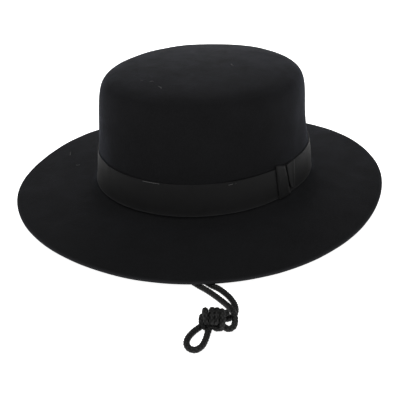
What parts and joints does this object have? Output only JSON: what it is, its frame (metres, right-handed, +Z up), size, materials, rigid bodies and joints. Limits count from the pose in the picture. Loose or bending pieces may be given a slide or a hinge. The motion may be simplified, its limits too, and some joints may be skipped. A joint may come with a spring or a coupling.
{
  "type": "gaucho hat",
  "caption": "Black wool-felt gaucho hat with a flat crown, wide brim, grosgrain ribbon band and a knotted, braided chin cord.",
  "frame": {"origin": "middle of the brim's outline, on the surface that the hat rests on", "axes": "+Z up out of the flat crown, -Y towards the front of the hat, +X towards the wearer's left"},
  "size_m": [0.3118, 0.3576, 0.112],
  "materials": {
    "felt": "matte wool felt",
    "ribbon": "ribbed grosgrain with a soft sheen",
    "cord": "braided, slightly glossy"
  },
  "bodies": {
    "root": {"felt_body": "felt", "ribbon_band": "ribbon", "band_keeper": "ribbon", "cord_anchor_left": "ribbon", "cord_anchor_right": "ribbon", "cord_left": "cord", "cord_right": "cord", "cord_end_loop": "cord", "cord_knot": "cord"}
  },
  "joints": []
}
